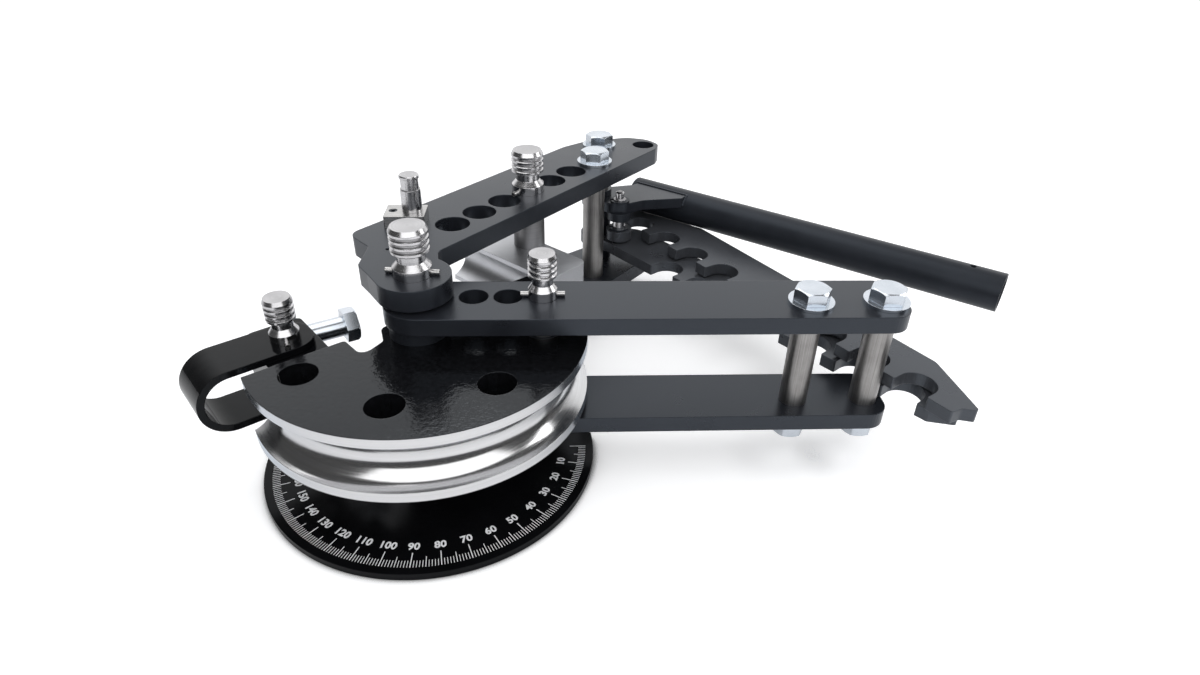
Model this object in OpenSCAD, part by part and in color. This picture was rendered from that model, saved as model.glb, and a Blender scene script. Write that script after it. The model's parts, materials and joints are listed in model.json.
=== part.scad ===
// Manual rotary-draw pipe bender with a ratchet lever.
// Millimetres. The main pivot pin stands on Z at the origin and the floor is z = 0.
// X runs along the drive arm, Y points from the front to the back.

/* [View] */
// which piece to draw

/* [Frame arm] */
// direction of the frame arm from the drive arm, degrees
frame_angle = 51.2; // [48:0.1:58]
// thickness of the two frame plates
frame_plate_t = 19.05; // [14:0.05:24]
// radius of the round head around the main pin
frame_head_r = 32.5; // [29:0.5:36]
// distance from the main pin to the nearest follow hole, along the arm
follow_hole_start = 93; // [90:0.5:96]
// pitch of the row of follow holes
follow_hole_pitch = 36.9; // [35.5:0.1:38]
// offset of the row of follow holes from the main pin
follow_hole_offset = 46.9; // [44:0.1:50]
// radius of the open hole at the arm's end
end_hole_r = 13; // [9:0.5:14]
// outside radius of the frame spacers
frame_spacer_r = 12.7; // [11.5:0.1:13]

/* [Drive arm] */
// thickness of the two drive plates
drive_plate_t = 15.9; // [12:0.1:19]
// width of the drive plates
drive_plate_w = 66.5; // [60:0.5:70]
// length of the drive plates beyond the main pin
drive_plate_reach = 427; // [424:0.5:432]
// clear height between the drive plates
drive_gap = 88.3; // [86:0.1:94]
// radius of the drive pin's circle
drive_radius = 109; // [105:0.5:112]
// pitch of the row of drive holes
drive_hole_pitch = 29.8; // [28:0.1:31]
// outside radius of the drive spacers
drive_spacer_r = 12.7; // [11.5:0.1:13]

/* [Bending die] */
// centre line radius of the bend
bend_radius = 152.4; // [151:0.1:155]
// radius of the round groove, half the tube with a little play
groove_r = 22.4; // [20:0.1:23]
// outside radius of the die
die_r = 148.5; // [145:0.5:149]
// thickness of the die
die_t = 63; // [58:0.5:66]
// distance of the die's flat back edge from the main pin
die_flat = 24.9; // [22:0.1:27]
// angle between two drive holes of the die
die_hole_step = 47.75; // [46:0.25:50]

/* [Pins] */
// radius of the main pin and the follow pin
big_pin_r = 16.67; // [15.5:0.01:17]
// radius of the drive pin and the strap pin
small_pin_r = 12.7; // [11:0.05:12.9]
// height of the big pins' grips above the frame plate
big_grip_h = 44.6; // [40:0.2:52]
// height of the small pins' grips above their seat
small_grip_h = 41.6; // [38:0.2:46]
// radius of the cross pins
cross_pin_r = 2.4; // [2:0.1:3.2]

/* [Tube strap] */
// thickness of the strap
strap_t = 6.35; // [4:0.05:7]
// width of the strap
strap_w = 47; // [42:0.5:48]

/* [Follow block] */
// length of the follow block
follow_len = 152; // [140:1:156]
// height of the follow block
follow_h = 54; // [50:0.5:56]
// thickness of the follow block behind its lips, up to the pin axis
follow_front = 46.7; // [44.7:0.1:47.2]

/* [Ratchet and handle] */
// thickness of the two ratchet bars
ratchet_t = 12.7; // [10:0.1:13]
// pitch of the ratchet notches
notch_pitch = 52.2; // [50:0.1:53]
// radius of the ratchet notches
notch_r = 17.5; // [15:0.1:18]
// outside radius of the handle tube
handle_tube_r = 21.08; // [19:0.02:21.5]
// wall of the handle tube
handle_tube_wall = 3.55; // [2:0.05:5]
// length of the handle tube
handle_tube_len = 456; // [400:0.2:480]

/* [Degree plate] */
// radius of the degree plate
degree_r = 155.5; // [150:0.5:165]
// thickness of the degree plate
degree_t = 6.35; // [4:0.05:8]

/* [Index plunger] */
// height of the plunger block
plunger_block_h = 12; // [10:0.5:16]
// radius of the plunger sleeve
plunger_sleeve_r = 9.5; // [9.2:0.1:11]

/* [Hidden] */
$fn = 96;

// running clearance of a pin in its hole, on the radius
pin_play = 0.06;
// gap between flat faces that turn on each other
face_play = 0.2;
// thrust washer between a frame plate and a drive plate
pivot_washer_t = 3.2;
// height of the hub under the lower frame plate
hub_h = 27.35;
// bolts of the two arms
bolt_r = 9.525;
bolt_af = 28.6;
bolt_head_h = 12;
bolt_nut_h = 16.5;
washer_r = 20;
washer_t = 3;

// heights of the plates
frame_lo = degree_t + hub_h;
frame_lo_top = frame_lo + frame_plate_t;
drive_lo = frame_lo_top + pivot_washer_t;
drive_lo_top = drive_lo + drive_plate_t;
drive_up = drive_lo_top + drive_gap;
drive_up_top = drive_up + drive_plate_t;
frame_up = drive_up_top + pivot_washer_t;
frame_up_top = frame_up + frame_plate_t;
groove_z = drive_lo_top + drive_gap / 2 - 5.6;
die_z = groove_z - die_t / 2;

// points of the frame arm, along the arm and to its left
follow_pin_u = follow_hole_start + 3 * follow_hole_pitch;
end_hole = [406.8, 35.1];
front_bolt = [318.2, 44];
rear_bolt = [368.9, 74.5];
function arm_point(p) = [
    p[0] * cos(frame_angle) - p[1] * sin(frame_angle),
    p[0] * sin(frame_angle) + p[1] * cos(frame_angle)];
rear_xy = arm_point(rear_bolt);

// points of the drive arm
drive_mid_y = -5.8;
inner_bolt = [341.7, -12.6];
outer_bolt = [408.5, -12.6];

// the die turns its own frame so that its flat edge runs along x
die_angle = 37.5;
strap_pin_x = -95.5;
strap_y0 = die_flat + 18;
strap_pin_y = strap_y0 + 0.43 * strap_w;
strap_in_r = groove_r + 0.3;
lug_z = groove_z - strap_in_r + 0.5;
lug_h = 2 * strap_in_r - 1;
lug_x0 = -121;
lug_x1 = -68.6;
lug_y1 = die_flat + 78;
// clamp bolt: its mouth in the lug, its turn from the die's edge, its depth and its free length
clamp_y = die_flat + 62;
clamp_z = groove_z + 10.6;
clamp_turn = -8;
clamp_deep = 30;
clamp_free = 32;

// ratchet levels
hold_z = drive_lo_top + 0.6;
clip_t = 1.8;
pull_z = hold_z + ratchet_t + clip_t + 0.9;
lever_t = 12.7;
lever_z = pull_z + ratchet_t + 23.8;
lever_top = lever_z + lever_t;
tube_z = lever_top + 2 - handle_tube_r;
// gap between the handle tube and the bar under it
tube_clear = 0.7;
clip_levels = [pull_z - 0.2 - clip_t, pull_z + ratchet_t + 0.2, lever_top + 0.2];

// ratchet bars: eye, direction and the line of their teeth, just clear of the drive spacer
pull_eye = rear_xy + [25.9, -25.2];
tooth_gap = drive_spacer_r + 1;
function bearing(p, q) = atan2(q[1] - p[1], q[0] - p[0]);
function reach(p, q) = norm(q - p);
pull_dir = -58;
pull_turn = pull_dir - bearing(pull_eye, outer_bolt);
pull_along = reach(pull_eye, outer_bolt) * cos(pull_turn);
pull_tips = tooth_gap - reach(pull_eye, outer_bolt) * sin(pull_turn);
hold_tips = -13;
hold_turn = asin((tooth_gap - hold_tips) / reach(rear_xy, outer_bolt));
hold_dir = bearing(rear_xy, outer_bolt) + hold_turn;
hold_along = reach(rear_xy, outer_bolt) * cos(hold_turn);

// handle tube axis
tube_dir = -37.2;
tube_start = rear_xy + [54.5, 48.3];

// index plunger, on the drive pin's circle
plunger_xy = drive_radius * [cos(98.4), sin(98.4)];
plunger_top = frame_up_top + plunger_block_h + 21.5;
plunger_screw_xy = plunger_xy + [-18, -1.5];
plunger_rod_r = 8;
plunger_nose_z = groove_z + 22.6;

// rounded outline: each point is [x, y, corner radius]
function unit(v) = v / norm(v);
function turn_between(a, b) = (b - a > 180) ? b - a - 360 : (b - a < -180) ? b - a + 360 : b - a;
function corner(p, q, s, n) =
    q[2] == 0 ? [[q[0], q[1]]] :
    let (
        o = [q[0], q[1]],
        u = unit([p[0], p[1]] - o),
        v = unit([s[0], s[1]] - o),
        half = acos(max(-1, min(1, u * v))) / 2,
        c = o + unit(u + v) * q[2] / sin(half),
        a = o + u * q[2] / tan(half) - c,
        b = o + v * q[2] / tan(half) - c,
        a0 = atan2(a[1], a[0]),
        da = turn_between(a0, atan2(b[1], b[0]))
    )
    [for (i = [0 : n]) c + q[2] * [cos(a0 + da * i / n), sin(a0 + da * i / n)]];
function outline(pts, n = 10) = [
    for (i = [0 : len(pts) - 1])
        each corner(pts[(i + len(pts) - 1) % len(pts)], pts[i], pts[(i + 1) % len(pts)], n)];

module slab(pts, z, t) {
    translate([0, 0, z])
        linear_extrude(height = t)
            polygon(outline(pts));
}

module post(p, r, z0, z1) {
    translate([p[0], p[1], z0])
        cylinder(r = r, h = z1 - z0);
}

module ring(p, r_in, r_out, z0, z1) {
    difference() {
        post(p, r_out, z0, z1);
        post(p, r_in, z0 - 1, z1 + 1);
    }
}

module hexagon(p, af, z, h) {
    translate([p[0], p[1], z])
        cylinder(r = af / sqrt(3), h = h, $fn = 6);
}

module through_bolt(p, z_low, z_seat) {
    union() {
        post(p, bolt_r, z_low + 1.5, z_seat + 0.5);
        translate([p[0], p[1], z_low])
            cylinder(r1 = bolt_r - 1.4, r2 = bolt_r, h = 1.5);
        translate([p[0], p[1], z_seat])
            hex_bolt_head();
    }
}

module hex_bolt_head() {
    intersection() {
        cylinder(r = bolt_af / sqrt(3), h = bolt_head_h, $fn = 6);
        union() {
            cylinder(r = bolt_af * 0.6, h = bolt_head_h - 2);
            translate([0, 0, bolt_head_h - 2])
                cylinder(r1 = bolt_af * 0.6, r2 = bolt_af * 0.47, h = 2);
        }
    }
}

module nut(p, z) {
    translate([p[0], p[1], z])
        difference() {
            intersection() {
                cylinder(r = bolt_af / sqrt(3), h = bolt_nut_h, $fn = 6);
                union() {
                    cylinder(r1 = bolt_af * 0.47, r2 = bolt_af * 0.6, h = 2);
                    translate([0, 0, 2])
                        cylinder(r = bolt_af * 0.6, h = bolt_nut_h);
                }
            }
            translate([0, 0, -1])
                cylinder(r = bolt_r, h = bolt_nut_h + 2);
        }
}

// turned pin with a grooved pull grip: zs is the seat, grip is the height above it
// pull pin: shank, flare, neck and four ribs, the last one a chamfered cap
module grip_pin(p, r, z0, zs, grip) {
    foot = 0.48 * grip;
    step = (grip - foot) / 4.3;
    neck = 0.72 * r;
    groove = 0.87 * r;
    translate([p[0], p[1], 0])
        rotate_extrude()
            polygon(concat(
                [[0, z0], [r - 1.5, z0], [r, z0 + 1.5], [r, zs + 8.5]],
                [[neck, zs + 13.5], [neck, zs + foot]],
                [for (k = [0 : 3], q = [
                    [r - 1.2, zs + foot + k * step],
                    [r - 0.2, zs + foot + (k + 0.18) * step],
                    [r - 0.2, zs + foot + (k + 0.58) * step],
                    [k == 3 ? groove : r - 1.2, zs + foot + (k == 3 ? 4.3 : k + 0.74) * step],
                    [k == 3 ? 0 : groove, zs + foot + (k == 3 ? 4.3 : k + 0.8) * step],
                    each (k == 3 ? [] : [[groove, zs + foot + (k + 0.94) * step]])]) q]));
}

function cross_pin_len(r) = 2 * r + 13;

module cross_hole(p, a, z, r, len) {
    translate([p[0], p[1], z])
        rotate([0, 90, a])
            cylinder(r = r, h = len, center = true);
}

// outline of a frame plate, head included
module frame_plate(z) {
    rotate(frame_angle)
        union() {
            post([0, 0], frame_head_r, z, z + frame_plate_t);
            slab([
                [26, -4, 0], [43, 14.9, 12], [404, 14.9, 8], [421, 21, 14], [427, 43, 24],
                [417, 67, 24], [371, 98, 40], [338, 105, 40], [56, 105, 40], [17, 105.5, 13],
                [11, 70, 7], [-18.5, 48.5, 7], [-24, 30, 6],
                [-0.954 * frame_head_r, 0.3 * frame_head_r, 0]], z, frame_plate_t);
        }
}

module frame_bores(z) {
    post([0, 0], big_pin_r + pin_play, z - 1, z + frame_plate_t + 1);
    rotate(frame_angle) {
        for (k = [0 : 5])
            post([follow_hole_start + k * follow_hole_pitch, follow_hole_offset],
                big_pin_r + pin_play, z - 1, z + frame_plate_t + 1);
        post(end_hole, end_hole_r, z - 1, z + frame_plate_t + 1);
        for (p = [front_bolt, rear_bolt])
            post(p, bolt_r, z - 1, z + frame_plate_t + 1);
    }
}

module frame_arm_upper() {
    color([0.16, 0.16, 0.18])
        difference() {
            frame_plate(frame_up);
            frame_bores(frame_up);
            post(plunger_xy, plunger_rod_r + pin_play, frame_up - 1, frame_up_top + 1);
            post(plunger_screw_xy, 2.5, frame_up_top - 12, frame_up_top + 1);
            post([-29.2, 47.3], 2.2, frame_up_top - 10, frame_up_top + 1);
        }
}

module frame_arm_lower() {
    color([0.16, 0.16, 0.18])
        difference() {
            frame_plate(frame_lo);
            frame_bores(frame_lo);
        }
}

module frame_spacers() {
    color([0.55, 0.54, 0.52])
        rotate(frame_angle)
            for (p = [front_bolt, rear_bolt])
                ring(p, bolt_r, frame_spacer_r, frame_lo_top, frame_up);
}

module frame_bolts() {
    color([0.8, 0.81, 0.83])
        rotate(frame_angle)
            for (p = [front_bolt, rear_bolt])
                through_bolt(p, 0, frame_up_top + washer_t);
}

module frame_washers() {
    color([0.82, 0.83, 0.85])
        rotate(frame_angle)
            for (p = [front_bolt, rear_bolt]) {
                ring(p, bolt_r, washer_r, frame_up_top, frame_up_top + washer_t);
                ring(p, bolt_r, washer_r, frame_lo - washer_t, frame_lo);
            }
}

module frame_nuts() {
    color([0.8, 0.81, 0.83])
        rotate(frame_angle)
            for (p = [front_bolt, rear_bolt])
                nut(p, frame_lo - washer_t - bolt_nut_h);
}

module pivot_washers() {
    color([0.5, 0.5, 0.5])
        for (z = [frame_lo_top, drive_up_top + face_play])
            ring([0, 0], big_pin_r + pin_play, 24, z, z + pivot_washer_t - face_play);
}

module main_pin() {
    color([0.72, 0.72, 0.73])
        difference() {
            grip_pin([0, 0], big_pin_r, degree_t + 0.3, frame_up_top, big_grip_h);
            cross_hole([0, 0], -6, frame_up_top + cross_pin_r + face_play, cross_pin_r, 60);
        }
}

module main_cross_pin() {
    color([0.62, 0.62, 0.63])
        cross_hole([0, 0], -6, frame_up_top + cross_pin_r + face_play, cross_pin_r,
            cross_pin_len(big_pin_r));
}

module follow_pin() {
    color([0.72, 0.72, 0.73])
        rotate(frame_angle)
            difference() {
                grip_pin([follow_pin_u, follow_hole_offset], big_pin_r, frame_lo - 2,
                    frame_up_top, big_grip_h);
                cross_hole([follow_pin_u, follow_hole_offset], 0,
                    frame_up_top + cross_pin_r + face_play, cross_pin_r, 60);
            }
}

module follow_cross_pin() {
    color([0.62, 0.62, 0.63])
        rotate(frame_angle)
            cross_hole([follow_pin_u, follow_hole_offset], 0,
                frame_up_top + cross_pin_r + face_play, cross_pin_r, cross_pin_len(big_pin_r));
}

module follow_spacer() {
    color([0.5, 0.5, 0.5])
        rotate(frame_angle)
            ring([follow_pin_u, follow_hole_offset], big_pin_r + pin_play, 22, frame_lo_top,
                groove_z - follow_h / 2 - face_play);
}

// grooved block that swivels on the follow pin, turned a little towards the die
module follow_block() {
    color([0.7, 0.7, 0.71])
        rotate(frame_angle)
            translate([follow_pin_u, follow_hole_offset, groove_z])
                rotate(-5)
                    difference() {
                        slab([
                            [-follow_front, -follow_len / 2, 0], [10, -follow_len / 2, 9],
                            [10, follow_len / 2, 9], [-follow_front, follow_len / 2, 0]],
                            -follow_h / 2, follow_h);
                        post([0, 0], big_pin_r + pin_play, -follow_h, follow_h);
                        translate([bend_radius - follow_pin_u, 0, 0])
                            rotate([90, 0, 0])
                                cylinder(r = groove_r, h = follow_len + 2, center = true);
                        for (y = [36, 52])
                            post([-8, y], 2.5, follow_h / 2 - 8, follow_h);
                    }
}

module plunger_block() {
    top = frame_up_top + plunger_block_h;
    color([0.6, 0.6, 0.6])
        difference() {
            translate([plunger_xy[0], plunger_xy[1], 0])
                slab([[-25, -16.5, 1.2], [13, -16.5, 1.2], [13, 12, 1.2], [-25, 12, 1.2]],
                    frame_up_top, plunger_block_h);
            post(plunger_xy, plunger_sleeve_r, frame_up_top - 1, top + 1);
            post(plunger_screw_xy, 2.5, frame_up_top - 1, top + 1);
            post(plunger_screw_xy, 4.2, top - 4.4, top + 1);
        }
}

module plunger_screw() {
    top = frame_up_top + plunger_block_h;
    color([0.25, 0.25, 0.26])
        difference() {
            union() {
                post(plunger_screw_xy, 2.5, frame_up_top - 11, top - 4.4);
                post(plunger_screw_xy, 4.2, top - 4.4, top - 0.4);
            }
            hexagon(plunger_screw_xy, 4, top - 2.6, 4);
        }
}

// fixed sleeve: bored for the rod at its foot and top, wider between them for the spring
module plunger_sleeve() {
    color([0.55, 0.55, 0.56])
        difference() {
            post(plunger_xy, plunger_sleeve_r, frame_up_top, plunger_top);
            post(plunger_xy, 5 + pin_play, frame_up_top - 1, plunger_top + 1);
            post(plunger_xy, plunger_rod_r + pin_play, frame_up_top - 1, plunger_top - 5);
        }
}

module plunger_rod() {
    color([0.66, 0.66, 0.67])
        union() {
            post(plunger_xy, plunger_rod_r, plunger_nose_z + 3, frame_up_top + 6);
            translate([plunger_xy[0], plunger_xy[1], plunger_nose_z])
                cylinder(r1 = plunger_rod_r - 2, r2 = plunger_rod_r, h = 3);
            post(plunger_xy, 5, frame_up_top + 5, plunger_top + 3);
            post(plunger_xy, 8.3, plunger_top + face_play, plunger_top + 11);
            post(plunger_xy, 9.3, plunger_top + 10.8, plunger_top + 13);
            translate([plunger_xy[0], plunger_xy[1], plunger_top + 13])
                cylinder(r1 = 9.3, r2 = 8.5, h = 1);
        }
}

module plunger_spring() {
    color([0.6, 0.6, 0.6])
        ring(plunger_xy, 5.4, 7.7, frame_up_top + 6, plunger_top - 5);
}

module drive_plate(z) {
    r = drive_plate_w / 2;
    translate([0, drive_mid_y, z])
        union() {
            translate([r - 27, 0, 0])
                cylinder(r = r, h = drive_plate_t);
            slab([
                [r - 27, -r, 0], [drive_plate_reach, -r, 19], [drive_plate_reach, r, 19], [r - 27, r, 0]],
                0, drive_plate_t);
        }
}

module drive_plate_bored(z) {
    difference() {
        drive_plate(z);
        post([0, 0], big_pin_r + pin_play, z - 1, z + drive_plate_t + 1);
        for (k = [0 : 2])
            post([drive_radius - k * drive_hole_pitch, 0], small_pin_r + pin_play, z - 1,
                z + drive_plate_t + 1);
        for (p = [inner_bolt, outer_bolt])
            post(p, bolt_r, z - 1, z + drive_plate_t + 1);
    }
}

module drive_arm_upper() {
    color([0.2, 0.2, 0.22])
        drive_plate_bored(drive_up);
}

module drive_arm_lower() {
    color([0.2, 0.2, 0.22])
        drive_plate_bored(drive_lo);
}

module drive_spacers() {
    color([0.55, 0.54, 0.52])
        for (p = [inner_bolt, outer_bolt])
            ring(p, bolt_r, drive_spacer_r, drive_lo_top, drive_up);
}

module drive_bolts() {
    color([0.8, 0.81, 0.83])
        for (p = [inner_bolt, outer_bolt])
            through_bolt(p, drive_lo - washer_t - bolt_nut_h - 3.5, drive_up_top + washer_t);
}

module drive_washers() {
    color([0.82, 0.83, 0.85])
        for (p = [inner_bolt, outer_bolt]) {
            ring(p, bolt_r, washer_r, drive_up_top, drive_up_top + washer_t);
            ring(p, bolt_r, washer_r, drive_lo - washer_t, drive_lo);
        }
}

module drive_nuts() {
    color([0.8, 0.81, 0.83])
        for (p = [inner_bolt, outer_bolt])
            nut(p, drive_lo - washer_t - bolt_nut_h);
}

module drive_pin() {
    color([0.72, 0.72, 0.73])
        difference() {
            grip_pin([drive_radius, 0], small_pin_r, drive_lo - 2, drive_up_top, small_grip_h);
            cross_hole([drive_radius, 0], 0, drive_up_top + cross_pin_r + face_play, cross_pin_r, 60);
        }
}

module drive_cross_pin() {
    color([0.62, 0.62, 0.63])
        cross_hole([drive_radius, 0], 0, drive_up_top + cross_pin_r + face_play, cross_pin_r,
            cross_pin_len(small_pin_r));
}

// half-round former: a grooved disc cut by a flat edge with a relief beside the hub
module bending_die() {
    color([0.13, 0.13, 0.14])
        difference() {
            intersection() {
                post([0, 0], die_r, die_z, die_z + die_t);
                rotate(die_angle)
                    slab([
                        [-200, -200, 0], [200, -200, 0], [200, die_flat, 0], [-25, die_flat, 8],
                        [-33, 4, 6], [-48, -2, 5], [-57.6, -2, 7], [-58.6, die_flat, 3],
                        [-200, die_flat, 0]], die_z - 1, die_t + 2);
            }
            translate([0, 0, groove_z])
                rotate_extrude()
                    translate([bend_radius, 0])
                        circle(r = groove_r);
            post([0, 0], big_pin_r + pin_play, die_z - 1, die_z + die_t + 1);
            for (k = [0 : 3])
                rotate(-k * die_hole_step)
                    post([drive_radius, 0], 15.9, die_z - 1, die_z + die_t + 1);
        }
}

// block behind the flat edge that carries the strap pin and the clamp bolt
module strap_lug() {
    color([0.13, 0.13, 0.14])
        rotate(die_angle)
            difference() {
                slab([
                    [lug_x0, die_flat, 0], [lug_x1, die_flat, 0], [lug_x1, lug_y1, 5],
                    [lug_x0, lug_y1, 10]], lug_z, lug_h);
                post([strap_pin_x, strap_pin_y], small_pin_r + pin_play, lug_z - 1, lug_z + lug_h + 1);
                translate([lug_x1, clamp_y, clamp_z])
                    rotate([0, 90, clamp_turn])
                        translate([0, 0, -clamp_deep - 2])
                            cylinder(r = bolt_r + pin_play, h = clamp_deep + 20);
            }
}

module die_spacers() {
    color([0.5, 0.5, 0.5]) {
        ring([0, 0], big_pin_r + pin_play, 26, drive_lo_top, die_z);
        ring([0, 0], big_pin_r + pin_play, 26, die_z + die_t, drive_up);
    }
}

module drive_bushing() {
    color([0.6, 0.6, 0.61])
        ring([drive_radius, 0], small_pin_r + pin_play, 15.9, die_z, die_z + die_t);
}

module strap_side(z, t) {
    slab([
        [-bend_radius, strap_y0, 0], [strap_pin_x + strap_w / 2, strap_y0, 20],
        [strap_pin_x + strap_w / 2, strap_y0 + strap_w, 20], [-bend_radius, strap_y0 + strap_w, 0]],
        z, t);
}

module tube_strap() {
    color([0.08, 0.08, 0.09])
        rotate(die_angle)
            difference() {
                union() {
                    strap_side(groove_z + strap_in_r, strap_t);
                    strap_side(groove_z - strap_in_r - strap_t, strap_t);
                    difference() {
                        translate([-bend_radius, strap_y0, groove_z])
                            rotate([-90, 0, 0])
                                cylinder(r = strap_in_r + strap_t, h = strap_w);
                        translate([-bend_radius, strap_y0 - 1, groove_z])
                            rotate([-90, 0, 0])
                                cylinder(r = strap_in_r, h = strap_w + 2);
                        translate([-bend_radius, strap_y0 - 1, groove_z - 60])
                            cube([60, strap_w + 2, 120]);
                    }
                }
                post([strap_pin_x, strap_pin_y], small_pin_r + pin_play, groove_z - 60, groove_z + 60);
            }
}

strap_seat = groove_z + strap_in_r + strap_t;

module strap_pin() {
    color([0.72, 0.72, 0.73])
        rotate(die_angle)
            difference() {
                grip_pin([strap_pin_x, strap_pin_y], small_pin_r,
                    groove_z - strap_in_r - strap_t - 3, strap_seat, small_grip_h);
                cross_hole([strap_pin_x, strap_pin_y], -105, strap_seat + cross_pin_r + face_play,
                    cross_pin_r, 60);
            }
}

module strap_cross_pin() {
    color([0.62, 0.62, 0.63])
        rotate(die_angle)
            cross_hole([strap_pin_x, strap_pin_y], -105, strap_seat + cross_pin_r + face_play,
                cross_pin_r, cross_pin_len(small_pin_r));
}

module clamp_bolt() {
    color([0.8, 0.81, 0.83])
        rotate(die_angle)
            translate([lug_x1, clamp_y, clamp_z])
                rotate([0, 90, clamp_turn])
                    translate([0, 0, -clamp_deep])
                        union() {
                            cylinder(r1 = bolt_r - 1.5, r2 = bolt_r, h = 2);
                            translate([0, 0, 2])
                                cylinder(r = bolt_r, h = clamp_deep + clamp_free - 2);
                            translate([0, 0, clamp_deep + clamp_free])
                                rotate(20)
                                    intersection() {
                                        cylinder(r = bolt_af / sqrt(3), h = bolt_head_h, $fn = 6);
                                        cylinder(r1 = 24, r2 = 14.9, h = bolt_head_h);
                                    }
                        }
}

module degree_plate() {
    color([0.1, 0.1, 0.11])
        difference() {
            intersection() {
                post([0, 0], degree_r, 0, degree_t);
                slab([
                    [-degree_r - 5, -degree_r - 5, 0], [degree_r + 5, -degree_r - 5, 0],
                    [degree_r + 5, 10, 0], [sqrt(degree_r * degree_r - 484) + 0.6, 22, 9],
                    [-sqrt(degree_r * degree_r - 484) - 0.6, 22, 9], [-degree_r - 5, 10, 0]],
                    0, degree_t);
            }
            for (k = [0 : 2])
                rotate(120 * k + 30)
                    post([23, 0], 2.5, -1, degree_t + 1);
        }
}

module degree_hub() {
    color([0.5, 0.5, 0.5])
        difference() {
            post([0, 0], 30, degree_t, frame_lo - face_play);
            post([0, 0], big_pin_r + pin_play, degree_t - 1, frame_lo + 1);
            for (k = [0 : 2])
                rotate(120 * k + 30)
                    post([23, 0], 2.5, degree_t - 1, degree_t + 14);
        }
}

module degree_screws() {
    color([0.3, 0.3, 0.31])
        for (k = [0 : 2])
            rotate(120 * k + 30)
                post([23, 0], 2.5, 0.4, degree_t + 12);
}

module along_tube(x0, x1, r) {
    translate([tube_start[0], tube_start[1], tube_z])
        rotate(tube_dir)
            translate([x0, 0, 0])
                rotate([0, 90, 0])
                    cylinder(r = r, h = x1 - x0);
}

module handle_tube() {
    color([0.13, 0.13, 0.14])
        difference() {
            along_tube(0, handle_tube_len, handle_tube_r);
            along_tube(-1, handle_tube_len + 1, handle_tube_r - handle_tube_wall);
            translate([tube_start[0], tube_start[1], tube_z])
                rotate(tube_dir)
                    translate([handle_tube_len - 34, 0, 0])
                        cylinder(r = 3.2, h = 40);
        }
}

// flat lever plate from the rear spacer to the tube, coped to the tube's side
module handle_plate() {
    color([0.2, 0.2, 0.22])
        difference() {
            union() {
                post(rear_xy, 20, lever_z, lever_top);
                translate([rear_xy[0], rear_xy[1], 0])
                    slab([
                        [-10, -12, 0], [12, -34, 16], [33, -35, 14], [56, -23, 20], [104.6, -16.2, 2],
                        [117.3, 0.5, 0], [62, 42.5, 0], [47, 29, 4], [18, 22, 8], [-6, 14, 0]],
                        lever_z, lever_t);
            }
            post(rear_xy, frame_spacer_r + pin_play, lever_z - 1, lever_top + 1);
            post(pull_eye, 7.9 + pin_play, lever_z - 1, lever_top + 1);
            along_tube(-40, handle_tube_len, handle_tube_r);
        }
}

module handle_boss() {
    color([0.16, 0.16, 0.17])
        ring(pull_eye, 7.9 + pin_play, 15, lever_z - 10.1, lever_z);
}

module pull_pin() {
    color([0.66, 0.66, 0.67])
        difference() {
            union() {
                post(pull_eye, 7.9, hold_z + ratchet_t + 0.4, lever_top + 3);
                post(pull_eye, 5.2, lever_top + 3, lever_top + 11);
                translate([pull_eye[0], pull_eye[1], lever_top + 11])
                    cylinder(r1 = 5.2, r2 = 3.4, h = 1.6);
            }
            for (z = clip_levels)
                ring(pull_eye, 6.9, 9, z, z + clip_t);
        }
}

module clip(p, z) {
    difference() {
        ring(p, 6.9, 12, z, z + clip_t);
        translate([p[0] - 20, p[1] - 2.5, z - 1])
            cube([20, 5, clip_t + 2]);
    }
}

module pull_pin_clips() {
    color([0.3, 0.3, 0.31])
        for (z = clip_levels)
            clip(pull_eye, z);
}

// notches open towards the drive arm; the first one is x0 from the eye
function notch_corners(x0, count, tips) = [
    for (k = [0 : count - 1])
        let (x = x0 + k * notch_pitch, top = tips + 11 + notch_r)
            each [
                [x - notch_r, tips, 1.2], [x - notch_r, top, notch_r - 0.02],
                [x + notch_r, top, notch_r - 0.02], [x + notch_r, tips, 1.2]]];

// the bar's rear corner is coped and stepped down to pass under the handle tube
module pull_ratchet() {
    color([0.2, 0.2, 0.22])
        difference() {
            translate([pull_eye[0], pull_eye[1], 0])
                rotate(pull_dir) {
                    post([0, 0], 16, pull_z, pull_z + ratchet_t);
                    slab([
                        [0, 0, 0], [0, 10, 0],
                        each notch_corners(pull_along - 16 - 7 * notch_pitch, 9, pull_tips),
                        [pull_along + 79, pull_tips, 2], [pull_along + 81, pull_tips + 12, 5],
                        [pull_along + 92, pull_tips + 22, 3], [pull_along + 24, pull_tips + 56, 16],
                        [-24, pull_tips + 70.5, 6], [-44, pull_tips + 40, 18], [-15, -2, 0]],
                        pull_z, ratchet_t);
                }
            post(pull_eye, 7.9 + pin_play, pull_z - 1, pull_z + ratchet_t + 1);
            along_tube(-40, handle_tube_len, handle_tube_r + tube_clear);
            translate([tube_start[0], tube_start[1], tube_z - handle_tube_r - tube_clear])
                rotate(tube_dir) {
                    translate([-60, 0, 0])
                        cube([160, 60, 20]);
                    translate([-60, -0.78 * handle_tube_r, 0])
                        cube([75, 40, 20]);
                }
        }
}

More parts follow.
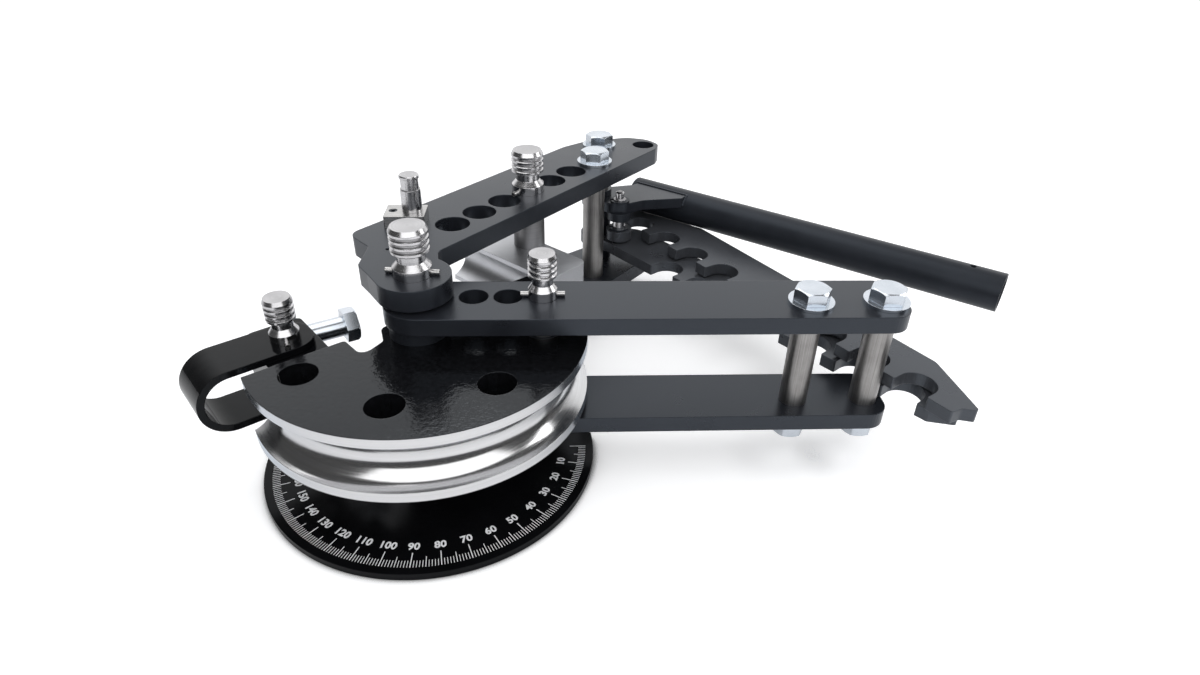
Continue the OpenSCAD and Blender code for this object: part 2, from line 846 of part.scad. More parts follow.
module hold_ratchet() {
    color([0.2, 0.2, 0.22])
        translate([rear_xy[0], rear_xy[1], 0])
            rotate(hold_dir)
                difference() {
                    union() {
                        post([0, 0], 21, hold_z, hold_z + ratchet_t);
                        slab([
                            [0, -20, 0], [20, hold_tips, 16], each notch_corners(133, 7, hold_tips),
                            [hold_along + 58, hold_tips, 2],
                            [hold_along + 80, hold_tips + 17, 3], [hold_along + 16, hold_tips + 58, 16],
                            [30, hold_tips + 60, 24], [0, 20, 0]], hold_z, ratchet_t);
                    }
                    post([0, 0], frame_spacer_r + pin_play, hold_z - 1, hold_z + ratchet_t + 1);
                }
}

// collars on the rear spacer that carry the ratchet and the handle at their heights
module pivot_collars() {
    color([0.3, 0.3, 0.31]) {
        ring(rear_xy, frame_spacer_r, 18, frame_lo_top, hold_z - face_play);
        ring(rear_xy, frame_spacer_r, 17, hold_z + ratchet_t + face_play, lever_z - face_play);
        ring(rear_xy, frame_spacer_r, 17, lever_top + face_play, lever_top + 8);
    }
}

frame_arm_upper();
frame_arm_lower();
frame_spacers();
frame_bolts();
frame_washers();
frame_nuts();
pivot_washers();
main_pin();
main_cross_pin();
follow_pin();
follow_cross_pin();
follow_spacer();
follow_block();
plunger_block();
plunger_sleeve();
plunger_rod();
plunger_spring();
plunger_screw();
drive_arm_upper();
drive_arm_lower();
drive_spacers();
drive_bolts();
drive_washers();
drive_nuts();
drive_pin();
drive_cross_pin();
bending_die();
strap_lug();
die_spacers();
drive_bushing();
tube_strap();
strap_pin();
strap_cross_pin();
clamp_bolt();
degree_plate();
degree_hub();
degree_screws();
handle_tube();
handle_plate();
handle_boss();
pull_pin();
pull_pin_clips();
pull_ratchet();
hold_ratchet();
pivot_collars();
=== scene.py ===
import bpy
import bmesh
import json
import math
from mathutils import Matrix, Vector


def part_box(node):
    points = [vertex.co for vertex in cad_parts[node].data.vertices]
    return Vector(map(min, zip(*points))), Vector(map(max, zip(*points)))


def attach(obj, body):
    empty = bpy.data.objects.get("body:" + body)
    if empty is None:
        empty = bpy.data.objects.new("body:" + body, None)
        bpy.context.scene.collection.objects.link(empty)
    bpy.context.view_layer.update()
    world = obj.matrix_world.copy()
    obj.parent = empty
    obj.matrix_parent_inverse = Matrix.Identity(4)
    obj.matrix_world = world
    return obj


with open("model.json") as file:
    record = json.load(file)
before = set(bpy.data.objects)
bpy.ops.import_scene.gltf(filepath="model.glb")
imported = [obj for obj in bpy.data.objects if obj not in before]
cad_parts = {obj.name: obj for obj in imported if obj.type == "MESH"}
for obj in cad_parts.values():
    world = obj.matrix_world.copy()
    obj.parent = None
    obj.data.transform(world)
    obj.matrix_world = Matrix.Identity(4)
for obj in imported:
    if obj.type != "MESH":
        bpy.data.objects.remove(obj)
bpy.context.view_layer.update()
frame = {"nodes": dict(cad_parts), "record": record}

scene = bpy.context.scene
scene.view_settings.view_transform = "Standard"
nodes = frame["nodes"]
mm = 0.001
print("frame loaded, pieces:", len(nodes))


# camera, fitted to the photograph
cameraSet = {
    "focalPixels": 766.76,     # for a picture 1200 pixels wide
    "pictureWidth": 1200.0,
    "place": (0.12304, -0.58133, 0.50370),
    "pitchDown": 32.451,
    "yawRight": 3.600,
    "roll": 1.561,
    "sensor": 36.0,            # mm
    "nearest": 0.01,
}


def placeCamera(c):
    pitch, yaw, roll = (math.radians(c[k]) for k in ("pitchDown", "yawRight", "roll"))
    ahead = Vector((math.sin(yaw) * math.cos(pitch), math.cos(yaw) * math.cos(pitch), -math.sin(pitch)))
    level = Vector((math.cos(yaw), -math.sin(yaw), 0))
    above = level.cross(ahead)
    right = math.cos(roll) * level + math.sin(roll) * above
    up = -math.sin(roll) * level + math.cos(roll) * above
    data = bpy.data.cameras.new("camera")
    data.sensor_width = c["sensor"]
    data.lens = c["sensor"] * c["focalPixels"] / c["pictureWidth"]
    data.clip_start = c["nearest"]
    cam = bpy.data.objects.new("camera", data)
    scene.collection.objects.link(cam)
    basis = Matrix((right, up, -ahead)).transposed().to_4x4()
    cam.matrix_world = Matrix.Translation(c["place"]) @ basis
    scene.camera = cam


placeCamera(cameraSet)
print("camera placed")


# small helpers for node trees
def startFinish(name):
    mat = bpy.data.materials.new(name)
    mat.use_nodes = True
    tree = mat.node_tree
    return mat, tree, tree.nodes["Principled BSDF"]


def put(tree, kind, sockets=(), **settings):
    node = tree.nodes.new(kind)
    for key, value in settings.items():
        setattr(node, key, value)
    for key, value in dict(sockets).items():
        node.inputs[key].default_value = value
    return node


def join(tree, source, target):
    tree.links.new(source, target)


def ownPlace(tree, stretch=(1, 1, 1)):
    where = put(tree, "ShaderNodeTexCoord")
    lay = put(tree, "ShaderNodeMapping", {"Scale": stretch})
    join(tree, where.outputs["Object"], lay.inputs["Vector"])
    return lay.outputs["Vector"]


def noise(tree, place, scale, detail=3.0, rough=0.5):
    grain = put(tree, "ShaderNodeTexNoise", {"Scale": scale, "Detail": detail, "Roughness": rough})
    join(tree, place, grain.inputs["Vector"])
    return grain.outputs["Fac"]


def span(tree, value, fromLow, fromHigh, toLow, toHigh, smooth=False):
    rng = put(tree, "ShaderNodeMapRange", {1: fromLow, 2: fromHigh, 3: toLow, 4: toHigh}, clamp=True)
    if smooth:
        rng.interpolation_type = "SMOOTHSTEP"
    join(tree, value, rng.inputs[0])
    return rng.outputs[0]


def tint(tree, value, stops):
    ramp = put(tree, "ShaderNodeValToRGB")
    while len(ramp.color_ramp.elements) < len(stops):
        ramp.color_ramp.elements.new(0.5)
    for slot, (at, colour) in zip(ramp.color_ramp.elements, stops):
        slot.position = at
        slot.color = (*colour, 1)
    join(tree, value, ramp.inputs[0])
    return ramp.outputs[0]


def sums(tree, kind, a, b=None):
    node = put(tree, "ShaderNodeMath", operation=kind)
    for socket, value in zip(node.inputs, (a, b)):
        if value is None:
            continue
        if isinstance(value, (int, float)):
            socket.default_value = value
        else:
            join(tree, value, socket)
    return node.outputs[0]


def blendColour(tree, fac, a, b):
    mix = put(tree, "ShaderNodeMix", data_type="RGBA")
    join(tree, fac, mix.inputs[0])
    for socket, value in ((mix.inputs[6], a), (mix.inputs[7], b)):
        if isinstance(value, tuple):
            socket.default_value = (*value, 1)
        else:
            join(tree, value, socket)
    return mix.outputs[2]


# rounds an edge in the shading only
def softEdge(tree, radius):
    return put(tree, "ShaderNodeBevel", {"Radius": radius}, samples=6).outputs[0]


def bump(tree, height, strength, depth, normal):
    dent = put(tree, "ShaderNodeBump", {"Strength": strength, "Distance": depth})
    join(tree, height, dent.inputs["Height"])
    join(tree, normal, dent.inputs["Normal"])
    return dent.outputs[0]


# studio: pale floor and backdrop, soft lamps
studioSet = {
    "floorSize": 8.0,
    "floorDrop": 0.4 * mm,         # keeps the floor clear of the part's underside
    "floorColour": (0.88, 0.885, 0.9),
    "floorFront": (0.05, 0.05, 0.055),      # mirrored only: the dark room before the floor's front edge
    "floorFade": (-0.66, -0.52),
    "shadeReach": 0.06,            # soft contact shade on the floor
    "shadeSpan": (0.4, 0.86),
    "shadeDepth": 0.3,
    "floorGlow": (0.36, 0.6),      # camera rays only, near and far
    "glowSpan": (0.6, 1.6),
    "skyColour": (1, 1, 1, 1),
    "skyLight": 0.5,
    "mirrorDark": 0.07,            # what bright faces mirror: a dark room, pale at the back
    "mirrorPale": 1.15,
    "mirrorSpan": (0.3, 0.75),
    "lamps": (
        ("lampOver", (-0.2, 0.45, 1.7), (0.1, 0.1, 0.1), 1.5, 1.5, 12),
        ("lampFront", (0.25, -1.1, 1.05), (0.0, -0.1, 0.1), 2.4, 1.4, 17),
        ("lampRight", (1.5, 0.3, 1.0), (0.2, 0.1, 0.1), 0.7, 0.9, 6),
    ),
}


def makeFloor(s):
    mesh = bpy.data.meshes.new("floor")
    h = s["floorSize"] / 2
    mesh.from_pydata([(-h, -h, 0), (h, -h, 0), (h, h, 0), (-h, h, 0)], [], [(0, 1, 2, 3)])
    floor = bpy.data.objects.new("floor", mesh)
    floor.location.z = -s["floorDrop"]
    scene.collection.objects.link(floor)
    mat, tree, skin = startFinish("paleFloor")
    skin.inputs["Roughness"].default_value = 0.9
    skin.inputs["Specular IOR Level"].default_value = 0.1
    skin.inputs["Emission Color"].default_value = (1, 1, 1, 1)
    path = put(tree, "ShaderNodeLightPath")
    place = ownPlace(tree)
    ahead = put(tree, "ShaderNodeSeparateXYZ")
    join(tree, place, ahead.inputs[0])
    fade = span(tree, ahead.outputs[1], *s["floorFade"], 1, 0)
    front = sums(tree, "MULTIPLY", path.outputs["Is Glossy Ray"], fade)
    shade = put(tree, "ShaderNodeAmbientOcclusion", {"Distance": s["shadeReach"]}, samples=8)
    clear = span(tree, shade.outputs["AO"], *s["shadeSpan"], 0, 1, True)
    shaded = tuple(s["shadeDepth"] * c for c in s["floorColour"])
    pale = blendColour(tree, clear, shaded, s["floorColour"])
    join(tree, blendColour(tree, front, pale, s["floorFront"]), skin.inputs["Base Color"])
    apart = put(tree, "ShaderNodeVectorMath", operation="LENGTH")
    join(tree, place, apart.inputs[0])
    glow = span(tree, apart.outputs["Value"], *s["glowSpan"], *s["floorGlow"], True)
    glow = sums(tree, "MULTIPLY", glow, clear)
    glow = sums(tree, "MULTIPLY", path.outputs["Is Camera Ray"], glow)
    join(tree, glow, skin.inputs["Emission Strength"])
    mesh.materials.append(mat)


def makeSky(s):
    world = bpy.data.worlds.new("studio")
    scene.world = world
    world.use_nodes = True
    tree = world.node_tree
    tree.nodes.clear()
    path = put(tree, "ShaderNodeLightPath")
    facing = put(tree, "ShaderNodeSeparateXYZ")
    join(tree, put(tree, "ShaderNodeTexCoord").outputs["Generated"], facing.inputs[0])
    back = span(tree, facing.outputs[1], *s["mirrorSpan"], s["mirrorDark"], s["mirrorPale"], True)
    seen = put(tree, "ShaderNodeBackground", {"Color": s["skyColour"], "Strength": 1.0})
    mirrored = put(tree, "ShaderNodeBackground", {"Color": s["skyColour"]})
    lit = put(tree, "ShaderNodeBackground", {"Color": s["skyColour"], "Strength": s["skyLight"]})
    join(tree, back, mirrored.inputs["Strength"])
    gloss = put(tree, "ShaderNodeMixShader")
    pick = put(tree, "ShaderNodeMixShader")
    out = put(tree, "ShaderNodeOutputWorld")
    join(tree, path.outputs["Is Glossy Ray"], gloss.inputs[0])
    join(tree, lit.outputs[0], gloss.inputs[1])
    join(tree, mirrored.outputs[0], gloss.inputs[2])
    join(tree, path.outputs["Is Camera Ray"], pick.inputs[0])
    join(tree, gloss.outputs[0], pick.inputs[1])
    join(tree, seen.outputs[0], pick.inputs[2])
    join(tree, pick.outputs[0], out.inputs[0])


def makeLamps(s):
    for name, place, aim, wide, tall, power in s["lamps"]:
        data = bpy.data.lights.new(name, "AREA")
        data.shape = "RECTANGLE"
        data.size = wide
        data.size_y = tall
        data.energy = power
        lamp = bpy.data.objects.new(name, data)
        lamp.location = place
        lamp.rotation_euler = (Vector(aim) - Vector(place)).to_track_quat("-Z", "Y").to_euler()
        scene.collection.objects.link(lamp)


makeFloor(studioSet)
makeSky(studioSet)
makeLamps(studioSet)
print("studio lit")


# satin black coat of the plates, lever and ratchets
plateSet = {
    "dark": (0.0095, 0.0105, 0.0135), "pale": (0.014, 0.0155, 0.0195),
    "sheen": (0.76, 0.86, 1.0, 1), "shine": 0.55,
    "roughness": (0.26, 0.34), "cloudScale": 22,
    "grainScale": 1500, "grainDepth": 0.05 * mm, "edge": 1.3 * mm,
}


def satinBlack(name, s):
    mat, tree, skin = startFinish(name)
    place = ownPlace(tree)
    cloud = noise(tree, place, s["cloudScale"], 4, 0.6)
    grain = noise(tree, place, s["grainScale"], 2)
    join(tree, tint(tree, cloud, ((0.3, s["dark"]), (0.7, s["pale"]))), skin.inputs["Base Color"])
    join(tree, span(tree, cloud, 0.3, 0.7, *s["roughness"]), skin.inputs["Roughness"])
    join(tree, bump(tree, grain, 0.5, s["grainDepth"], softEdge(tree, s["edge"])), skin.inputs["Normal"])
    skin.inputs["Specular Tint"].default_value = s["sheen"]
    skin.inputs["Specular IOR Level"].default_value = s["shine"]
    return mat


# gloss enamel of the strap
enamelSet = {
    "dark": (0.0025, 0.0026, 0.003), "pale": (0.004, 0.0042, 0.005),
    "sheen": (0.9, 0.95, 1.0, 1), "shine": 0.16,
    "roughness": (0.04, 0.09), "cloudScale": 22,
    "grainScale": 70, "grainDepth": 0.25 * mm, "edge": 1 * mm,
}


# die: bare turned groove and rims, textured gloss paint on the flat faces
dieSet = {
    "top": 141.9 * mm, "bottom": 78.9 * mm, "core": 122 * mm,
    "paintSkin": (0.9 * mm, 0.5 * mm),       # how far below a flat face the paint fades out
    "paintEnd": (150.9 * mm, 151.3 * mm), "paintWear": 1.2 * mm,
    "speckScale": 420, "lumpScale": 240, "ringScale": 900, "broadScale": 120,
    "steelRoughness": (0.12, 0.22), "paintRoughness": (0.04, 0.1),
    "ringHeight": 0.03, "speckHeight": 0.35, "depth": 0.5 * mm, "edge": 0.7 * mm,
    "paintDark": (0.003, 0.0031, 0.0036), "paintPale": (0.006, 0.0063, 0.0075),
    "bare": ((0.3, (0.56, 0.56, 0.565)), (0.7, (0.74, 0.74, 0.75))),
    "sheen": (0.85, 0.92, 1.0, 1), "shine": 0.4,
}


def radial(tree, place, centre=(0, 0)):
    apart = put(tree, "ShaderNodeSeparateXYZ")
    join(tree, place, apart.inputs[0])
    x = sums(tree, "SUBTRACT", apart.outputs[0], centre[0])
    y = sums(tree, "SUBTRACT", apart.outputs[1], centre[1])
    r = sums(tree, "SQRT", sums(tree, "ADD", sums(tree, "MULTIPLY", x, x), sums(tree, "MULTIPLY", y, y)))
    return x, y, apart.outputs[2], r


def roundTangent(tree, x, y):
    along = put(tree, "ShaderNodeCombineXYZ")
    join(tree, sums(tree, "MULTIPLY", y, -1.0), along.inputs[0])
    join(tree, x, along.inputs[1])
    turn = put(tree, "ShaderNodeVectorTransform", vector_type="VECTOR",
               convert_from="OBJECT", convert_to="WORLD")
    join(tree, along.outputs[0], turn.inputs[0])
    tidy = put(tree, "ShaderNodeVectorMath", operation="NORMALIZE")
    join(tree, turn.outputs[0], tidy.inputs[0])
    return tidy.outputs[0]


def turnedRings(tree, r, z, scale):
    lay = put(tree, "ShaderNodeCombineXYZ")
    join(tree, r, lay.inputs[0])
    join(tree, z, lay.inputs[2])
    return noise(tree, lay.outputs[0], scale, 4, 0.7)


def diePaint(s):
    mat, tree, skin = startFinish("diePaint")
    place = ownPlace(tree)
    x, y, z, r = radial(tree, place)
    speck = noise(tree, place, s["speckScale"], 2)
    lumps = noise(tree, place, s["lumpScale"], 3, 0.6)
    # painted where the height is a flat face's, or well inside the groove
    lift = sums(tree, "ABSOLUTE", sums(tree, "SUBTRACT", z, (s["top"] + s["bottom"]) / 2))
    half = (s["top"] - s["bottom"]) / 2
    flat = span(tree, lift, half - s["paintSkin"][0], half - s["paintSkin"][1], 0, 1)
    inner = span(tree, r, s["core"] - 0.5 * mm, s["core"], 1, 0)
    wear = sums(tree, "MULTIPLY", sums(tree, "SUBTRACT", speck, 0.5), s["paintWear"])
    rim = span(tree, sums(tree, "ADD", r, wear), *s["paintEnd"], 1, 0)
    paint = sums(tree, "MAXIMUM", sums(tree, "MULTIPLY", flat, rim), inner)
    rings = turnedRings(tree, r, z, s["ringScale"])
    broad = turnedRings(tree, r, z, s["broadScale"])
    bare = tint(tree, sums(tree, "MULTIPLY", sums(tree, "ADD", rings, broad), 0.5), s["bare"])
    black = tint(tree, lumps, ((0.35, s["paintDark"]), (0.65, s["paintPale"])))
    join(tree, blendColour(tree, paint, bare, black), skin.inputs["Base Color"])
    join(tree, sums(tree, "SUBTRACT", 1.0, paint), skin.inputs["Metallic"])
    steel = span(tree, rings, 0.3, 0.7, *s["steelRoughness"])
    gloss = span(tree, lumps, 0.3, 0.7, *s["paintRoughness"])
    rough = put(tree, "ShaderNodeMix", data_type="FLOAT")
    join(tree, paint, rough.inputs[0])
    join(tree, steel, rough.inputs[2])
    join(tree, gloss, rough.inputs[3])
    join(tree, rough.outputs[0], skin.inputs["Roughness"])
    skin.inputs["Anisotropic"].default_value = 0.5
    join(tree, roundTangent(tree, x, y), skin.inputs["Tangent"])
    height = put(tree, "ShaderNodeMix", data_type="FLOAT")
    join(tree, paint, height.inputs[0])
    join(tree, sums(tree, "MULTIPLY", rings, s["ringHeight"]), height.inputs[2])
    fleck = sums(tree, "MULTIPLY", speck, s["speckHeight"])
    join(tree, sums(tree, "ADD", lumps, fleck), height.inputs[3])
    relief = bump(tree, height.outputs[0], 0.4, s["depth"], softEdge(tree, s["edge"]))
    join(tree, relief, skin.inputs["Normal"])
    skin.inputs["Specular Tint"].default_value = s["sheen"]
    skin.inputs["Specular IOR Level"].default_value = s["shine"]
    return mat


def axisOf(name):
    low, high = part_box(name)
    return ((low[0] + high[0]) / 2, (low[1] + high[1]) / 2)


# turned bright steel, one finish for each round piece because the lathe marks run about its axis
turnedSet = {
    "dark": (0.53, 0.525, 0.535), "pale": (0.72, 0.715, 0.73), "roughness": (0.16, 0.26),
    "ringScale": 700, "stainScale": 60, "depth": 0.12 * mm, "edge": 0.5 * mm,
    "faceRougher": 0.22, "face": 0.8,        # up-facing end faces: rougher, faced off dull; base colour darkened to 0.8 as painted shade
    "shankRougher": 0.2, "shank": 0.5,       # plain shank below the grip
}
gripHeight = {"main_pin": 46 * mm, "follow_pin": 46 * mm, "drive_pin": 43 * mm, "strap_pin": 43 * mm}


def turnedSteel(name, s):
    mat, tree, skin = startFinish(name + "Steel")
    place = ownPlace(tree)
    x, y, z, r = radial(tree, place, axisOf(name))
    rings = turnedRings(tree, r, z, s["ringScale"])
    stain = noise(tree, place, s["stainScale"], 3, 0.6)
    mixed = sums(tree, "ADD", sums(tree, "MULTIPLY", rings, 0.75), sums(tree, "MULTIPLY", stain, 0.25))
    facing = put(tree, "ShaderNodeSeparateXYZ")
    join(tree, put(tree, "ShaderNodeTexCoord").outputs["Normal"], facing.inputs[0])
    face = span(tree, facing.outputs[2], 0.9, 0.97, 0, 1)
    # painted shade: the up-facing end faces get a darker base colour
    shade = span(tree, face, 0, 1, 1, s["face"])
    rough = span(tree, rings, 0.3, 0.7, *s["roughness"])
    rough = sums(tree, "ADD", rough, span(tree, face, 0, 1, 0, s["faceRougher"]))
    if name in gripHeight:
        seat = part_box(name)[1][2] - gripHeight[name]
        shank = span(tree, z, seat - 1 * mm, seat, 1, 0)
        shade = sums(tree, "MULTIPLY", shade, span(tree, shank, 0, 1, 1, s["shank"]))
        rough = sums(tree, "ADD", rough, span(tree, shank, 0, 1, 0, s["shankRougher"]))
    steel = tint(tree, mixed, ((0.35, s["dark"]), (0.65, s["pale"])))
    join(tree, blendColour(tree, shade, (0.0, 0.0, 0.0), steel), skin.inputs["Base Color"])
    join(tree, rough, skin.inputs["Roughness"])
    skin.inputs["Metallic"].default_value = 1.0
    skin.inputs["Anisotropic"].default_value = 0.45
    join(tree, roundTangent(tree, x, y), skin.inputs["Tangent"])
    join(tree, bump(tree, rings, 0.12, s["depth"], softEdge(tree, s["edge"])), skin.inputs["Normal"])
    return mat


# streaked steel: raw drawn tube, sawn and milled blocks
drawnSet = {
    "stretch": (900, 900, 14), "roughness": (0.28, 0.45),
    "dark": (0.2, 0.19, 0.185), "pale": (0.43, 0.42, 0.41),
}
milledSet = {
    "stretch": (40, 900, 900), "roughness": (0.2, 0.36),
    "dark": (0.4, 0.395, 0.39), "pale": (0.62, 0.615, 0.61),
}
blockSet = {
    "stretch": (30, 500, 500), "roughness": (0.34, 0.44),
    "dark": (0.55, 0.56, 0.585), "pale": (0.63, 0.64, 0.665),
}
streakSet = {"stainScale": 45, "depth": 0.15 * mm, "edge": 0.5 * mm}


def streakedSteel(name, s):
    mat, tree, skin = startFinish(name)
    streak = noise(tree, ownPlace(tree, s["stretch"]), 1.0, 4, 0.65)
    stain = noise(tree, ownPlace(tree), s["stainScale"], 4, 0.6)
    mixed = sums(tree, "ADD", sums(tree, "MULTIPLY", streak, 0.65), sums(tree, "MULTIPLY", stain, 0.35))
    join(tree, tint(tree, mixed, ((0.32, s["dark"]), (0.68, s["pale"]))), skin.inputs["Base Color"])
    join(tree, span(tree, streak, 0.3, 0.7, *s["roughness"]), skin.inputs["Roughness"])
    skin.inputs["Metallic"].default_value = 1.0
    join(tree, bump(tree, streak, 0.3, s["depth"], softEdge(tree, s["edge"])), skin.inputs["Normal"])
    return mat


# bright zinc plate of bolts, nuts and washers
zincSet = {
    "dark": (0.6, 0.645, 0.7), "pale": (0.68, 0.72, 0.775), "roughness": (0.2, 0.27),
    "cloudScale": 60, "grainScale": 900, "grainDepth": 0.05 * mm, "edge": 0.6 * mm,
}


def zincPlate(name, s):
    mat, tree, skin = startFinish(name)
    place = ownPlace(tree)
    cloud = noise(tree, place, s["cloudScale"], 3, 0.5)
    join(tree, tint(tree, cloud, ((0.35, s["dark"]), (0.65, s["pale"]))), skin.inputs["Base Color"])
    join(tree, span(tree, cloud, 0.3, 0.7, *s["roughness"]), skin.inputs["Roughness"])
    skin.inputs["Metallic"].default_value = 1.0
    grain = noise(tree, place, s["grainScale"], 2)
    relief = bump(tree, grain, 0.12, s["grainDepth"], softEdge(tree, s["edge"]))
    join(tree, relief, skin.inputs["Normal"])
    return mat


plateBlack = satinBlack("plateBlack", plateSet)
# lighter copy of the plate black for the ratchets: painted sheen, the raised base colour stands in for
# the bright sheen of their tops
barBlackPaintedSheen = satinBlack("barBlackPaintedSheen", {
    **plateSet, "dark": (0.036, 0.038, 0.043), "pale": (0.045, 0.048, 0.054),
})
tubeBlack = satinBlack("tubeBlack", {
    **plateSet, "roughness": (0.36, 0.44), "shine": 0.36, "grainScale": 2200,
})
dialBlack = satinBlack("dialBlack", {
    **enamelSet, "roughness": (0.14, 0.2), "shine": 0.12, "grainScale": 1500, "grainDepth": 0.03 * mm,
})
oxideBlack = satinBlack("oxideBlack", {**plateSet, "roughness": (0.35, 0.5), "edge": 0.4 * mm})
strapBlack = satinBlack("strapBlack", enamelSet)
drawnSteel = streakedSteel("drawnSteel", {**streakSet, **drawnSet})
milledSteel = streakedSteel("milledSteel", {**streakSet, **milledSet})
blockSteel = streakedSteel("blockSteel", {**streakSet, **blockSet})
zinc = zincPlate("zinc", zincSet)
finishOf = {
    "bending_die": diePaint(dieSet),
    "tube_strap": strapBlack,
    "strap_lug": strapBlack,
    "handle_tube": tubeBlack,
    "handle_boss": oxideBlack,
    "pull_pin_clips": oxideBlack,
    "die_spacers": oxideBlack,
    "drive_bushing": oxideBlack,
    "degree_plate": dialBlack,
    "pull_ratchet": barBlackPaintedSheen,
    "hold_ratchet": barBlackPaintedSheen,
    "follow_block": blockSteel,
    "plunger_block": milledSteel,
    "clamp_bolt": zinc,
}
turnedPieces = (
    "main_pin", "follow_pin", "drive_pin", "strap_pin", "pull_pin",
    "plunger_rod", "plunger_sleeve", "follow_spacer",
)
for name in turnedPieces:
    finishOf[name] = turnedSteel(name, turnedSet)
slotFinish = {
    "black_plate": plateBlack,
    "die_paint": plateBlack,
    "gloss_black": strapBlack,
    "machined_steel": milledSteel,
    "drawn_steel": drawnSteel,
    "zinc": zinc,
    "black_oxide": oxideBlack,
}
for part in frame["record"]["subparts"]:
    obj = nodes[part["node"]]
    obj.data.materials.clear()
    obj.data.materials.append(finishOf.get(part["node"], slotFinish[part["material_slot"]]))
print("finishes on", len(nodes), "pieces")


# painted weld where the lever plate meets the handle tube: along its top edge, then down its square end
weldSet = {
    "start": (0.22759, 0.38248, 0.11797), "turn": -37.2, "tubeRadius": 21.08 * mm,
    "topAngle": 115.2, "endAngle": 162.4, "along": (4 * mm, 79.3 * mm),
    "bead": 1.5 * mm, "ripple": 0.12, "rippleLength": 3.4 * mm,
    "step": 0.55 * mm, "sides": 12, "reach": 4,
    "tip": 0.35, "taper": 5,       # bead size at its ends, and the steps to full size
}


def seamPoints(w):
    t = math.radians(w["turn"])
    axis = Vector((math.cos(t), math.sin(t), 0))
    side = Vector((-axis.y, axis.x, 0))
    first, last = w["along"]
    top, end = math.radians(w["topAngle"]), math.radians(w["endAngle"])
    straight = int((last - first) / w["step"])
    bent = int((end - top) * w["tubeRadius"] / w["step"])
    stops = [(first + (last - first) * i / straight, top) for i in range(straight)]
    stops += [(last, top + (end - top) * i / bent) for i in range(bent + 1)]
    points = []
    for along, angle in stops:
        outward = math.cos(angle) * side + math.sin(angle) * Vector((0, 0, 1))
        points.append((Vector(w["start"]) + along * axis + outward * w["tubeRadius"], outward))
    return points


def handleWeld(w, mat):
    points = seamPoints(w)
    bm = bmesh.new()
    rings = []
    turns = [2 * math.pi * k / w["sides"] for k in range(w["sides"])]
    final = len(points) - 1
    for i, (place, outward) in enumerate(points):
        after = points[min(i + w["reach"], final)][0]
        before = points[max(i - w["reach"], 0)][0]
        across = (after - before).normalized().cross(outward).normalized()
        wave = math.sin(2 * math.pi * i * w["step"] / w["rippleLength"])
        size = w["bead"] * (1 + w["ripple"] * wave)
        size *= min(1, w["tip"] + (1 - w["tip"]) * min(i, final - i) / w["taper"])
        spokes = [math.cos(a) * outward + math.sin(a) * across for a in turns]
        rings.append([bm.verts.new(place + size * spoke) for spoke in spokes])
    for one, two in zip(rings, rings[1:]):
        for k in range(w["sides"]):
            n = (k + 1) % w["sides"]
            bm.faces.new((one[k], one[n], two[n], two[k]))
    bm.faces.new(rings[0][::-1])
    bm.faces.new(rings[-1])
    bmesh.ops.recalc_face_normals(bm, faces=bm.faces[:])
    mesh = bpy.data.meshes.new("handleWeld")
    bm.to_mesh(mesh)
    bm.free()
    for face in mesh.polygons:
        face.use_smooth = len(face.vertices) == 4
    weld = bpy.data.objects.new("handleWeld", mesh)
    mesh.materials.append(mat)
    scene.collection.objects.link(weld)
    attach(weld, "handle")


handleWeld(weldSet, plateBlack)
print("handle welded")


# printed scale on the degree plate
scaleSet = {
    "height": 6.35 * mm, "thick": 0.12 * mm, "outer": 148.0 * mm,
    "inner": {10: 132.6 * mm, 5: 137.0 * mm, 1: 141.0 * mm},
    "width": {10: 0.8 * mm, 5: 0.65 * mm, 1: 0.55 * mm},
    "figures": range(10, 180, 10), "figureRadius": 125.8 * mm,
    "figureSize": 10.2 * mm, "figureBold": 0.32 * mm,
    "white": (0.9, 0.91, 0.93), "worn": 0.85, "wearScale": 300,
}


def printWhite(s):
    mat, tree, skin = startFinish("printWhite")
    wear = noise(tree, ownPlace(tree), s["wearScale"], 3)
    worn = tuple(s["worn"] * c for c in s["white"])
    join(tree, tint(tree, wear, ((0.3, worn), (0.6, s["white"]))), skin.inputs["Base Color"])
    skin.inputs["Roughness"].default_value = 0.5
    return mat


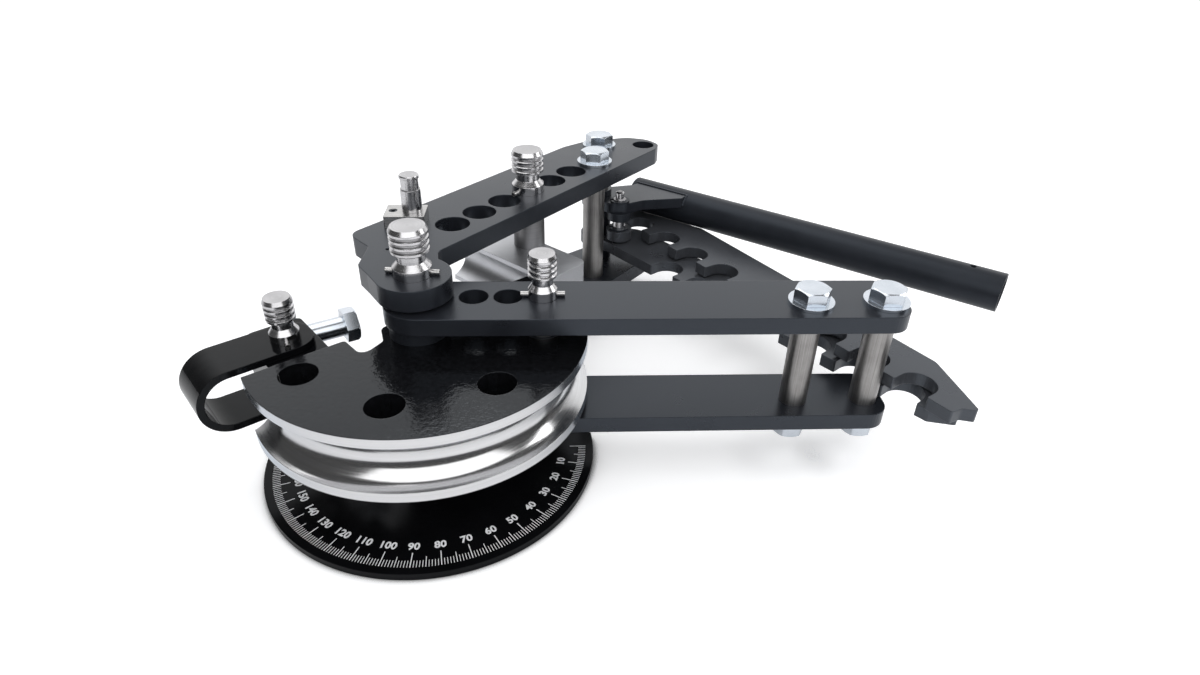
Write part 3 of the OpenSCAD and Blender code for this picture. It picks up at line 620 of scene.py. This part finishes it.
def scaleTicks(s, mat):
    bm = bmesh.new()
    for degree in range(0, 181):
        kind = 10 if degree % 10 == 0 else 5 if degree % 5 == 0 else 1
        a = math.radians(degree)
        out = Vector((math.cos(a), -math.sin(a), 0))
        side = Vector((math.sin(a), math.cos(a), 0)) * s["width"][kind] / 2
        start, end = out * s["inner"][kind], out * s["outer"]
        corners = [start - side, end - side, end + side, start + side]
        rise = [Vector((0, 0, s["height"])), Vector((0, 0, s["height"] + s["thick"]))]
        low = [bm.verts.new(c + rise[0]) for c in corners]
        high = [bm.verts.new(c + rise[1]) for c in corners]
        bm.faces.new(high)
        bm.faces.new(low[::-1])
        for i in range(4):
            j = (i + 1) % 4
            bm.faces.new((low[i], low[j], high[j], high[i]))
    bmesh.ops.recalc_face_normals(bm, faces=bm.faces[:])
    mesh = bpy.data.meshes.new("scaleTicks")
    bm.to_mesh(mesh)
    bm.free()
    ticks = bpy.data.objects.new("scaleTicks", mesh)
    mesh.materials.append(mat)
    scene.collection.objects.link(ticks)
    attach(ticks, "dial")


def scaleFigures(s, mat):
    for degree in s["figures"]:
        a = math.radians(degree)
        out = Vector((math.cos(a), -math.sin(a), 0))
        up = -out
        right = Vector((up.y, -up.x, 0))
        text = bpy.data.curves.new("figure%d" % degree, "FONT")
        text.body = str(degree)
        text.align_x = "CENTER"
        text.align_y = "CENTER"
        text.size = s["figureSize"]
        text.extrude = s["thick"] / 2
        text.offset = s["figureBold"]
        text.resolution_u = 3
        stand = bpy.data.objects.new("figure%dText" % degree, text)
        place = out * s["figureRadius"] + Vector((0, 0, s["height"] + s["thick"] / 2))
        basis = Matrix((right, up, Vector((0, 0, 1)))).transposed().to_4x4()
        stand.matrix_world = Matrix.Translation(place) @ basis
        scene.collection.objects.link(stand)
        bpy.context.view_layer.update()
        graph = bpy.context.evaluated_depsgraph_get()
        mesh = bpy.data.meshes.new_from_object(stand.evaluated_get(graph))
        mesh.transform(stand.matrix_world)
        bpy.data.objects.remove(stand)
        figure = bpy.data.objects.new("figure%d" % degree, mesh)
        mesh.materials.clear()
        mesh.materials.append(mat)
        scene.collection.objects.link(figure)
        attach(figure, "dial")


scaleInk = printWhite(scaleSet)
scaleTicks(scaleSet, scaleInk)
scaleFigures(scaleSet, scaleInk)
print("degree scale printed")
